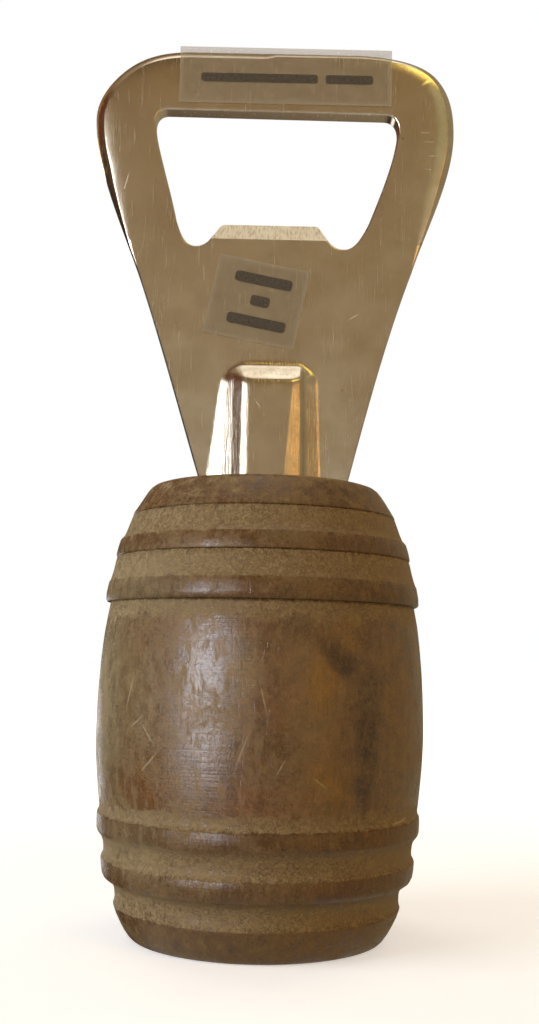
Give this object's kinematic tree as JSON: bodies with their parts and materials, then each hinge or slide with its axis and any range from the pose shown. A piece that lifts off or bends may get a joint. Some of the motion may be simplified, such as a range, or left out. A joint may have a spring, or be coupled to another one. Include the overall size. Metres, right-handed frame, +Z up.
{
  "type": "bottle opener",
  "caption": "Barrel-handled bottle opener: a flared plated steel head with a cap opening, ground lifting lip and raised rib, glued into a turned, stained wooden cask handle.",
  "frame": {"origin": "centre of the barrel's flat base, on the barrel's turning axis", "axes": "+Z up along the barrel's axis towards the head, -Y out of the front face that carries the rib and labels, +X to the right seen from the front"},
  "size_m": [0.0539, 0.0462, 0.1294],
  "materials": {
    "turned_wood": "turned and stained hardwood, thin varnish on the hoops, dusty matt coves",
    "plated_steel": "nickel-chrome plate over stamped steel, bright with fine scratches",
    "cured_resin": "cured amber epoxy",
    "clear_film": "thin clear film with a slightly milky adhesive"
  },
  "bodies": {
    "root": {"barrel_handle": "turned_wood", "opener_head": "plated_steel", "tang_adhesive": "cured_resin", "care_label": "clear_film", "origin_label": "clear_film"}
  },
  "joints": []
}
